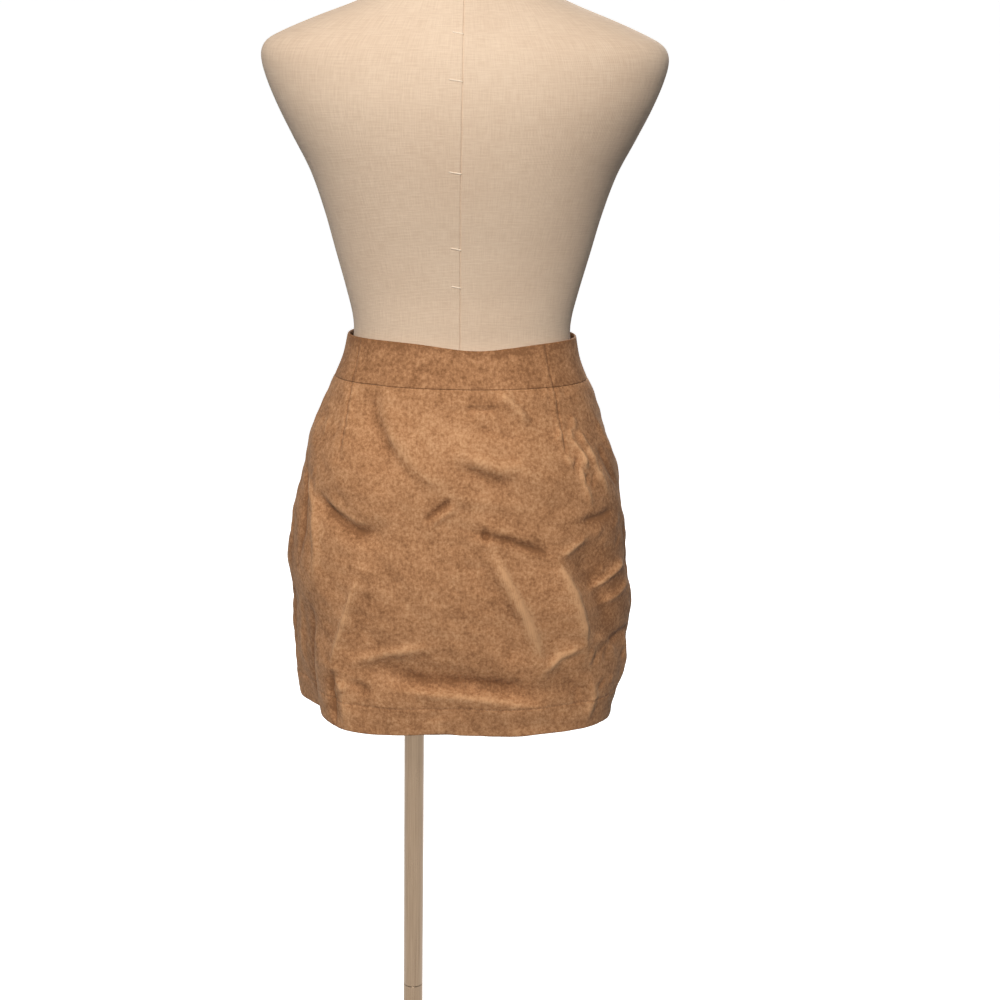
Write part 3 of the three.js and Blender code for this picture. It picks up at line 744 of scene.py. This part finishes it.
def corduroy(dark, middle, light):
    """Fine-wale corduroy: upright cords with painted shade in their furrows, a nap mottled at random with
    the painted light and shade of the cloth mixed in, a slight sheen.
    """
    nodes = Nodes("corduroy")
    split = nodes.add("ShaderNodeSeparateXYZ", {0: nodes.uv()})
    where = nodes.where()
    sway = nodes.noise(where, 14, 2)
    across = nodes.math("ADD", split.outputs[0], nodes.math("MULTIPLY", sway, 0.0014))
    phase = nodes.math("MULTIPLY", across, 2 * math.pi / (WALE_PITCH * MM))
    cord_wave = nodes.math("SINE", nodes.math("MULTIPLY", phase, 0.5))
    wale = nodes.math("POWER", nodes.math("ABSOLUTE", cord_wave), 0.6)
    patches = nodes.noise(where, 60, 4, 0.6, 0.3)
    broad = nodes.noise(where, 9, 2, 0.5)
    flecks = nodes.noise(where, 300, 4, 0.7)
    # the painted light and shade worked out on the cloth's points
    painted_light_value = nodes.add("ShaderNodeAttribute", attribute_name="painted_light").outputs["Fac"]
    # tone: random mottling from three noises, with a share of the painted light and shade
    tone_and_painted_light = nodes.weighted((patches, 0.28), (broad, 0.12), (flecks, 0.60), (painted_light_value, 0.16))
    shade = nodes.ramp(tone_and_painted_light, (0.36, dark), (0.50, middle), (0.64, light))
    # painted shade in the furrows between the cords
    furrow_shade = nodes.ramp(wale, (0.15, (0.66, 0.62, 0.58)), (0.75, (1.0, 1.0, 1.0)))
    colour = nodes.mix(0.55, shade, furrow_shade, "MULTIPLY")
    fibres = nodes.noise(where, 900, 2, 0.6)
    normal = nodes.bump(wale, 0.3, 0.0004)
    normal = nodes.bump(fibres, 0.25, 0.0003, normal)
    normal = nodes.bump(patches, 0.35, 0.0012, normal)
    rough = nodes.ramp(patches, (0.3, (0.88,) * 3), (0.7, (0.74,) * 3))
    return nodes.finish(base_color=colour, roughness=rough, normal=normal, sheen_weight=0.10,
                        sheen_roughness=0.45, sheen_tint=(0.95, 0.72, 0.50), specular_ior_level=0.16)


def reverse_of_corduroy():
    """The smooth woven back of the cloth."""
    nodes = Nodes("corduroy_reverse")
    bricks = nodes.add("ShaderNodeTexBrick", {"Vector": nodes.uv(), "Scale": 900.0, "Mortar Size": 0.12})
    shade = nodes.noise(nodes.where(), 60, 3)
    shade = nodes.ramp(shade, (0.3, (0.24, 0.125, 0.062)), (0.7, (0.33, 0.18, 0.092)))
    return nodes.finish(base_color=shade, roughness=0.9, specular_ior_level=0.2,
                        normal=nodes.bump(bricks.outputs["Fac"], 0.3, 0.0003))


def woven(name, first, second, threads, roughness):
    """A plain weave of so many threads a metre each way, uneven in thickness."""
    nodes = Nodes(name)
    uv = nodes.uv()
    split = nodes.add("ShaderNodeSeparateXYZ", {0: uv})
    where = nodes.where()
    warp_slub = nodes.noise(nodes.scaled(uv, (900, 60, 1)), 1.0, 2)
    weft_slub = nodes.noise(nodes.scaled(uv, (60, 900, 1)), 1.0, 2)
    turn = 2 * math.pi * threads
    warp = nodes.math("SINE", nodes.math("MULTIPLY", split.outputs[0], turn))
    weft = nodes.math("SINE", nodes.math("MULTIPLY", split.outputs[1], turn))
    cloth = nodes.weighted((warp, warp_slub), (weft, weft_slub))
    shade = nodes.ramp(nodes.weighted((warp_slub, 0.5), (weft_slub, 0.5)), (0.38, first), (0.62, second))
    broad = nodes.noise(where, 7, 3)
    shade = nodes.mix(0.35, shade, nodes.ramp(broad, (0.35, first), (0.65, second)))
    normal = nodes.bump(cloth, 0.35, 0.0003)
    return nodes.finish(base_color=shade, roughness=roughness, normal=normal, sheen_weight=0.08,
                        specular_ior_level=0.25)


def satin_metal():
    """Pale satin brass, drawn lengthways."""
    nodes = Nodes("satin_brass")
    where = nodes.where()
    lines = nodes.noise(nodes.scaled(where, (900, 900, 14)), 1.0, 3, 0.6)
    smudge = nodes.noise(where, 22, 3)
    colour = nodes.ramp(lines, (0.3, (0.21, 0.150, 0.100)), (0.7, (0.28, 0.205, 0.140)))
    rough = nodes.weighted((lines, 0.5), (smudge, 0.5))
    rough = nodes.ramp(rough, (0.35, (0.24,) * 3), (0.65, (0.38,) * 3))
    return nodes.finish(base_color=colour, roughness=rough, metallic=0.9,
                        normal=nodes.bump(lines, 0.05, 0.0002))


def cream_enamel():
    """Smooth stoved paint with a faint orange-peel and a few dull patches."""
    nodes = Nodes("cream_enamel")
    where = nodes.where()
    peel = nodes.noise(where, 420, 2)
    patches = nodes.noise(where, 12, 4)
    colour = nodes.ramp(patches, (0.3, (0.60, 0.51, 0.41)), (0.7, (0.66, 0.57, 0.47)))
    rough = nodes.ramp(patches, (0.3, (0.30,) * 3), (0.7, (0.42,) * 3))
    return nodes.finish(base_color=colour, roughness=rough, normal=nodes.bump(peel, 0.08, 0.0003),
                        coat_weight=0.2)


def sewing_thread(name, scale, dark, light, roughness):
    """Plain thread, a little uneven in colour."""
    nodes = Nodes(name)
    shade = nodes.ramp(nodes.noise(nodes.where(), scale, 2), (0.3, dark), (0.7, light))
    return nodes.finish(base_color=shade, roughness=roughness)


cord = corduroy(dark=(0.235, 0.104, 0.042), middle=(0.425, 0.206, 0.092), light=(0.60, 0.33, 0.165))
cord_reverse = reverse_of_corduroy()
thread = sewing_thread("thread", 700, (0.24, 0.115, 0.05), (0.38, 0.20, 0.10), 0.7)
pale_thread = sewing_thread("pale_thread", 600, (0.74, 0.60, 0.46), (0.84, 0.71, 0.57), 0.8)
linen = woven("linen", (0.60, 0.44, 0.315), (0.73, 0.57, 0.425), 700, 0.9)
tape = woven("zip_tape", (0.12, 0.06, 0.028), (0.17, 0.09, 0.045), 1100, 0.8)
brass = satin_metal()
enamel = cream_enamel()

# ------------------------------------------------------------------ the skirt
BACK_TURNS = (-90 + SEAM_TURN, 90 - SEAM_TURN)
FRONT_TURNS = (90 + SEAM_TURN, 270 - SEAM_TURN)
BAND_DROPS = (0.0, BAND_DEPTH - SEAM_HALF_GAP)
PANEL_DROPS = (BAND_DEPTH + SEAM_HALF_GAP, LENGTH)


def band_thickness(drop):
    return np.full_like(drop, BAND_CLOTH)


def panel_thickness(drop):
    share = np.clip((drop - (LENGTH - HEM_DEPTH)) / 1.5, 0, 1)
    return CLOTH + (HEM_CLOTH - CLOTH) * share


# Where the grids are finer: from, to, and how many times.
DART_TURNS = ((-58, -51, 1.8), (53, 69, 1.8))
STITCH_DROPS = ((360, 368, 2.5),)
band_back = cloth_shell("waistband_back_cloth", BACK_TURNS, 268, BAND_DROPS, 30, band_thickness,
                        True, False, DART_TURNS, tone_and_painted_light=BAND_PAINTED_SHADE)
band_front = cloth_shell("waistband_front_cloth", FRONT_TURNS, 220, BAND_DROPS, 24, band_thickness,
                         True, False, tone_and_painted_light=BAND_PAINTED_SHADE)
back = cloth_shell("skirt_back_cloth", BACK_TURNS, 266, PANEL_DROPS, 168, panel_thickness,
                   False, True, DART_TURNS, STITCH_DROPS)
front = cloth_shell("skirt_front_cloth", FRONT_TURNS, 238, PANEL_DROPS, 160, panel_thickness,
                    False, True, (), STITCH_DROPS)

# One stitch, end to end: share of its length, share of its thickness, and lift.
STITCH_COLUMNS = ((0, 0.25, -0.25), (0.14, 0.85, 0.0), (0.5, 1, 0.12), (0.86, 0.85, 0.0), (1, 0.25, -0.25))


def stitches(name, turns, drop_of, length=2.6, gap=1.1, radius=0.24, sunk=0.1, sides=5):
    """A row of stitches on the skirt: short round-ended threads along a line at drop_of(turn)."""
    fine = np.linspace(*turns, 4000)
    place, normal = skirt_surface(fine, drop_of(fine))
    place = place + normal * creases(fine, drop_of(fine))[:, None]
    arc = np.concatenate([[0], np.cumsum(np.linalg.norm(np.diff(place, axis=0), axis=1))])

    def at_arc(values, at):
        return np.array([np.interp(at, arc, values[:, i]) for i in range(3)])

    points, faces = [], []
    for start in np.arange(1.5, arc[-1] - length - 1.5, length + gap):
        faces += tube_faces(len(points), len(STITCH_COLUMNS), sides)
        for share, girth, lift in STITCH_COLUMNS:
            at = start + share * length
            middle, out = at_arc(place, at), at_arc(normal, at)
            ahead = at_arc(place, at + 0.5) - middle
            ahead /= np.linalg.norm(ahead)
            sideways = np.cross(out, ahead)
            for side in range(sides):
                angle = 2 * math.pi * side / sides
                ring = out * math.cos(angle) + sideways * math.sin(angle)
                points.append(middle + out * (lift - sunk) + ring * radius * girth)
    piece = make_object(name, np.array(points) * MM, faces)
    piece.data.materials.append(thread)
    return piece


hem_back = stitches("hem_stitches_back", (-89.0, 89.0), hem_line)
hem_front = stitches("hem_stitches_front", (91.0, 269.0), hem_line)


def zip_tape():
    """The zip's tape, on the inside of the left seam."""
    turn, drop = np.meshgrid(np.linspace(*ZIP_TURNS, 22), np.linspace(*ZIP_DROPS, 90))
    place, normal = skirt_surface(turn, drop)
    rise = creases(turn, drop)
    below_band = np.clip((drop - BAND_DEPTH - 1) / 20, 0, 1)
    cloth = BAND_CLOTH + (CLOTH - BAND_CLOTH) * below_band
    near = place + normal * (rise - cloth - ZIP_GAP)[..., None]
    far = place + normal * (rise - cloth - ZIP_FAR)[..., None]
    piece = closed_shell("side_zip_tape", near, far, np.stack([turn * FOLD_SCALE, -drop], -1))
    for _ in range(2):
        piece.data.materials.append(tape)
    return piece


zip_piece = zip_tape()

# ------------------------------------------------------------------ the form
def form_radius(turn, height):
    """The form's radius from its axis, without the grooves of its seams."""
    def level(name):
        return column_at(FORM_LEVELS, FORM_COLUMNS, name, height)

    half_y = np.where(np.cos(np.radians(turn)) >= 0, level("back"), level("front"))
    return oval_radius(turn, level("half"), half_y, level("square"))


def form_grid():
    """Turns and heights over the form, closer beside its seams, and the radius with the
    grooves of its centre-back and centre-front seams."""
    key_heights = [row[0] for row in FORM_LEVELS]
    even_heights = np.linspace(FORM_BOTTOM + 3, FORM_TOP - 2, 230)
    heights = np.unique(np.concatenate([even_heights, key_heights[1:-1]]))
    heights = heights[np.concatenate([[True], np.diff(heights) > 0.5])]
    beside = np.concatenate([np.linspace(-3, 3, 49), np.linspace(4, 10, 7)])
    turns = np.concatenate([beside, beside + 180, np.arange(12, 174, 2.0), np.arange(192, 357, 2.0),
                            [-7.5, -5, 174, 185, 187.5]])
    turn, height = np.meshgrid(np.unique(np.round(wrap(turns), 3)), heights)
    radius = form_radius(turn, height)
    for middle, sway in ((0.0, 1.0), (180.0, 0.4)):
        off = wrap(turn - middle - sway * 0.35 * np.sin(height / 60)) * 1.7
        radius += -0.8 * np.exp(-((off / 0.55) ** 2)) + 0.25 * np.exp(-(((off - 2.0) / 1.2) ** 2))
    return turn, height, radius


def make_form():
    """The whole torso, closed by flat ends with softened rims."""
    turn, height, radius = form_grid()
    angle = np.radians(turn)
    ring = np.stack([np.sin(angle) * radius, np.cos(angle) * radius, height + TOP_EDGE_Z], -1)
    rows, sides = turn.shape

    def capped(row, scale, level):
        shifted = ring[row].copy()
        shifted[:, :2] *= scale
        shifted[:, 2] = level + TOP_EDGE_Z
        return shifted

    below = [capped(0, 0.0, FORM_BOTTOM)[:1], capped(0, 0.5, FORM_BOTTOM), capped(0, 0.96, FORM_BOTTOM),
             capped(0, 0.985, FORM_BOTTOM + 0.4), capped(0, 0.997, FORM_BOTTOM + 1.4)]
    above = [capped(-1, 0.99, FORM_TOP - 0.8), capped(-1, 0.97, FORM_TOP), capped(-1, 0.6, FORM_TOP),
             capped(-1, 0.0, FORM_TOP)[:1]]
    rings = below + [ring[i] for i in range(rows)] + above
    starts = np.concatenate([[0], np.cumsum([len(r) for r in rings])])
    faces = []
    for i, (low, high) in enumerate(zip(rings, rings[1:])):
        below_ring, above_ring = starts[i], starts[i + 1]
        for side in range(sides):
            after = (side + 1) % sides
            if len(low) == 1:
                faces.append((below_ring, above_ring + side, above_ring + after))
            elif len(high) == 1:
                faces.append((below_ring + after, below_ring + side, above_ring))
            else:
                corners = (below_ring + after, below_ring + side, above_ring + side, above_ring + after)
                faces.append(corners)
    points = np.concatenate(rings)
    uv = np.stack([np.arctan2(points[:, 0], points[:, 1]) * 130, points[:, 2]], -1) * MM
    piece = make_object("linen_form", points * MM, faces, uv=uv)
    piece.data.materials.append(linen)
    return piece


form = make_form()


def form_point(turn, height):
    radius, angle = float(form_radius(np.array(turn), height)), math.radians(turn)
    return Vector((math.sin(angle) * radius, math.cos(angle) * radius, TOP_EDGE_Z + height))


def seam_ticks(steps=9, sides=6):
    """Short bars of thread that cross the centre-back seam."""
    points, faces = [], []
    for tick in TICK_HEIGHTS:
        bar = [form_point(turn, tick + 0.25 * turn) for turn in np.linspace(*TICK_TURNS, steps)]
        faces += tube_faces(len(points), steps, sides)
        for i, middle in enumerate(bar):
            ahead = (bar[min(i + 1, steps - 1)] - bar[max(i - 1, 0)]).normalized()
            out = Vector((middle.x, middle.y * 1.6, 0)).normalized()
            up = out.cross(ahead)
            girth = TICK_RADIUS * (0.3 if i in (0, steps - 1) else 1.0)
            for side in range(sides):
                angle = 2 * math.pi * side / sides
                lift, rise = 0.1 + girth * math.cos(angle), girth * 1.4 * math.sin(angle)
                points.append(middle + out * lift + up * rise)
    piece = make_object("form_seam_ticks", np.array([tuple(p) for p in points]) * MM, faces)
    piece.data.materials.append(pale_thread)
    return piece


ticks = seam_ticks()

# ------------------------------------------------------------------ the stand
def turned_for(node, name, top_round, bottom_round, material, sides=96):
    """A turned piece that fills the box of the frame's node."""
    low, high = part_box(node)
    middle, size = (low + high) / 2 / MM, (high - low) / MM
    profile = rounded_profile(size.x / 2, size.z, top_round, bottom_round)
    return lathe(name, profile, (middle.x, middle.y, low.z / MM), sides, material)


STAND = (
    ("form_neck_cap", turned_for("form_neck_cap", "neck_cap", 7, 2, enamel), "cream_enamel"),
    ("form_socket", turned_for("form_socket", "pole_socket", 2, 4, brass), "satin_brass"),
    ("pole_upper", turned_for("pole_upper", "upper_pole", 0.6, 0.6, brass), "satin_brass"),
    ("pole_lower", turned_for("pole_lower", "lower_pole", 0.6, 0.6, brass), "satin_brass"),
    ("base_collar", turned_for("base_collar", "pole_collar", 8, 0.8, brass), "satin_brass"),
    ("base_plate", turned_for("base_plate", "round_base", 6, 1.5, enamel, 160), "cream_enamel"),
)

# ------------------------------------------------------------------ what each piece stands for
CLOTHS = (
    ("waistband_back", band_back, "corduroy"),
    ("waistband_front", band_front, "corduroy"),
    ("back_panel", back, "corduroy"),
    ("front_panel", front, "corduroy"),
    ("side_zip", zip_piece, "zip_tape"),
    ("form_torso", form, "linen"),
)
for node, piece, slot in CLOTHS + STAND:
    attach(piece, "root")
    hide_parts(node)
for piece, slot in ((hem_back, "corduroy"), (hem_front, "corduroy"), (ticks, "linen")):
    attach(piece, "root")


# ------------------------------------------------------------------ floor, light
def studio_floor(radius=6.0, curve=2.5, wall=7.0, steps=24, sides=96):
    """A pale floor that sweeps up into a wall all round, in metres."""
    profile = [(radius, 0.0)]
    for i in range(1, steps + 1):
        angle = math.pi / 2 * i / steps
        profile.append((radius + curve * math.sin(angle), curve * (1 - math.cos(angle))))
    profile.append((radius + curve, wall))
    points = [(0, 0, -FLOOR_GAP)]
    for ring_radius, height in profile:
        for side in range(sides):
            angle = 2 * math.pi * side / sides
            x, y = ring_radius * math.cos(angle), ring_radius * math.sin(angle)
            points.append((x, y, height - FLOOR_GAP))
    faces = [(0, 1 + side, 1 + (side + 1) % sides) for side in range(sides)]
    for ring in range(len(profile) - 1):
        for side in range(sides):
            a, b = 1 + ring * sides + side, 1 + ring * sides + (side + 1) % sides
            faces.append((a, a + sides, b + sides, b))
    floor = make_object("studio_floor", points, faces)
    nodes = Nodes("studio_paper")
    floor.data.materials.append(nodes.finish(base_color=(0.80, 0.80, 0.80), roughness=0.95,
                                             emission_color=(1, 1, 1), emission_strength=0.85))
    floor.visible_diffuse = False


def soft_light(name, place, target, size, power, colour=(1, 1, 1)):
    data = bpy.data.lights.new(name, "AREA")
    data.shape = "RECTANGLE"
    data.size, data.size_y = size
    data.energy = power
    data.color = colour
    light = bpy.data.objects.new(name, data)
    light.location = place
    light.rotation_mode = "QUATERNION"
    light.rotation_quaternion = (Vector(target) - Vector(place)).to_track_quat("-Z", "Y")
    bpy.context.collection.objects.link(light)


def studio():
    studio_floor()
    world = bpy.data.worlds.new("studio")
    world.use_nodes = True
    background = world.node_tree.nodes["Background"]
    background.inputs["Color"].default_value = (1.0, 0.985, 0.96, 1)
    background.inputs["Strength"].default_value = 0.11
    bpy.context.scene.world = world
    soft_light("key", (0.3, 2.9, 2.9), (0, 0, 0.95), (0.9, 0.9), 120, (1.0, 0.98, 0.95))
    soft_light("top", (0.1, 0.3, 3.4), (0, 0, 1.2), (1.6, 1.0), 6)
    soft_light("left", (2.6, 1.2, 1.8), (0, 0, 0.95), (1.2, 1.6), 5)
    soft_light("front", (-0.5, -3.2, 2.4), (0, 0, 1.0), (1.4, 1.4), 85)


studio()
bpy.context.scene.view_settings.view_transform = "Standard"
